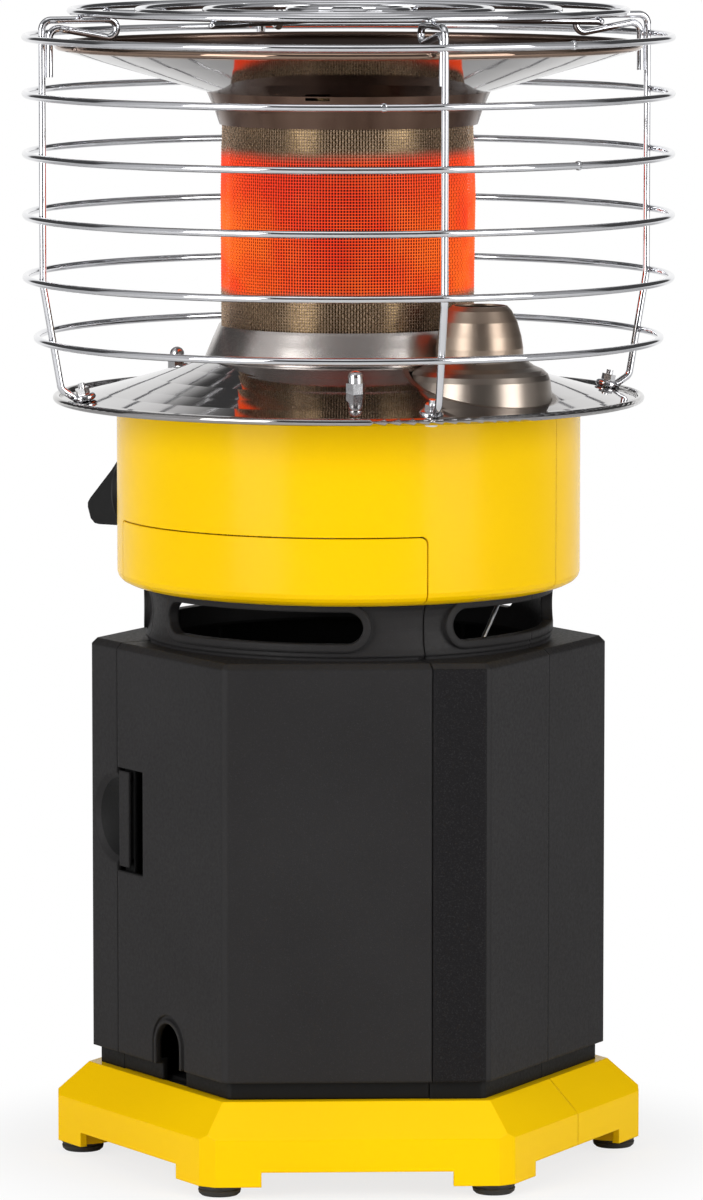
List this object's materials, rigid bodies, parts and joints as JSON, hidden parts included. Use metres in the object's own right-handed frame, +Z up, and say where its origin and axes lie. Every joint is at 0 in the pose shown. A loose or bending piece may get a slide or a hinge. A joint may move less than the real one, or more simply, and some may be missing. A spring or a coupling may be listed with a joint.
{
  "type": "portable propane heater",
  "caption": "Portable propane heater with a hexagonal base, a cylinder bay behind a hinged door, a round mesh burner between two reflectors and a wire guard.",
  "frame": {"origin": "on the floor, under the centre of the base", "axes": "+Z up; -Y is the front face of the base in the picture; +X to the right of it"},
  "size_m": [0.2744, 0.2744, 0.4858],
  "materials": {
    "yellow": "semi-gloss yellow coat",
    "black": "fine-grained matte black",
    "knob": "satin black",
    "rubber": "matte black",
    "lead": "black insulation",
    "zinc": "zinc plated",
    "cast": "die cast",
    "brass": "turned",
    "copper": "drawn tube",
    "wire": "bright plated wire",
    "mesh": "woven, heat tinted",
    "steel": "brushed",
    "heated": "heat tinted",
    "polished": "polished",
    "ceramic": "glazed ceramic"
  },
  "bodies": {
    "heater": {"base_front": "yellow", "base_rear": "yellow", "rubber_feet": "rubber", "base_screws": "zinc", "cylinder_seat": "black", "frame_front": "black", "shell_rear": "black", "drum_front": "yellow", "drum_rear": "yellow", "bulkhead": "zinc", "injector_bridge": "zinc", "regulator": "cast", "regulator_bracket": "zinc", "inlet_seal": "rubber", "valve_body": "brass", "feed_tube": "brass", "main_tube": "brass", "injector": "brass", "venturi": "cast", "burner_cup": "zinc", "emitter_mesh": "mesh", "inner_screen": "mesh", "lower_collar": "steel", "upper_collar": "heated", "upper_reflector": "heated", "lower_dish": "polished", "dish_studs": "zinc", "acorn_nuts": "wire", "pilot_shield": "heated", "pilot_bracket": "zinc", "pilot_burner": "brass", "pilot_tube": "brass", "thermocouple": "copper", "spark_electrode": "ceramic", "igniter_lead": "lead", "stay_rod": "zinc", "switch_bracket": "zinc", "cage_uprights": "wire", "guard_ring_1": "wire", "guard_ring_2": "wire", "guard_ring_3": "wire", "guard_ring_4": "wire", "guard_ring_5": "wire", "guard_ring_6": "wire", "grille_rings": "wire", "grille_bars": "wire", "cage_nuts": "zinc", "hinge_pins": "zinc"},
    "door": {"door_panel": "black", "door_band": "yellow", "hinge_arms": "zinc"},
    "latch": {"latch_slider": "black"},
    "plunger": {"push_collar": "zinc"},
    "knob": {"control_knob": "knob", "knob_stem": "zinc"},
    "pendulum": {"switch_pendulum": "zinc"}
  },
  "joints": [
    {"name": "door_hinge", "type": "hinge", "parent": "heater", "child": "door", "pos_m": [0.042, -0.0889, 0.13], "axis": [0, 0, 1], "range_deg": [0, 105]},
    {"name": "latch_slide", "type": "slide", "parent": "door", "child": "latch", "axis": [0.5, -0.866, 0], "range_m": [0, 0.007], "stiffness_N_per_m": 150},
    {"name": "knob_press", "type": "slide", "parent": "heater", "child": "plunger", "axis": [0.866, -0.5, 0], "range_m": [0, 0.003], "stiffness_N_per_m": 600},
    {"name": "knob_turn", "type": "hinge", "parent": "plunger", "child": "knob", "pos_m": [-0.0866, 0.05, 0.2775], "axis": [-0.866, 0.5, 0], "range_deg": [0, 200]},
    {"name": "pendulum_swing", "type": "hinge", "parent": "heater", "child": "pendulum", "pos_m": [0.052, 0.03, 0.29], "axis": [0.866, 0.5, 0], "range_deg": [-18, 18]}
  ]
}
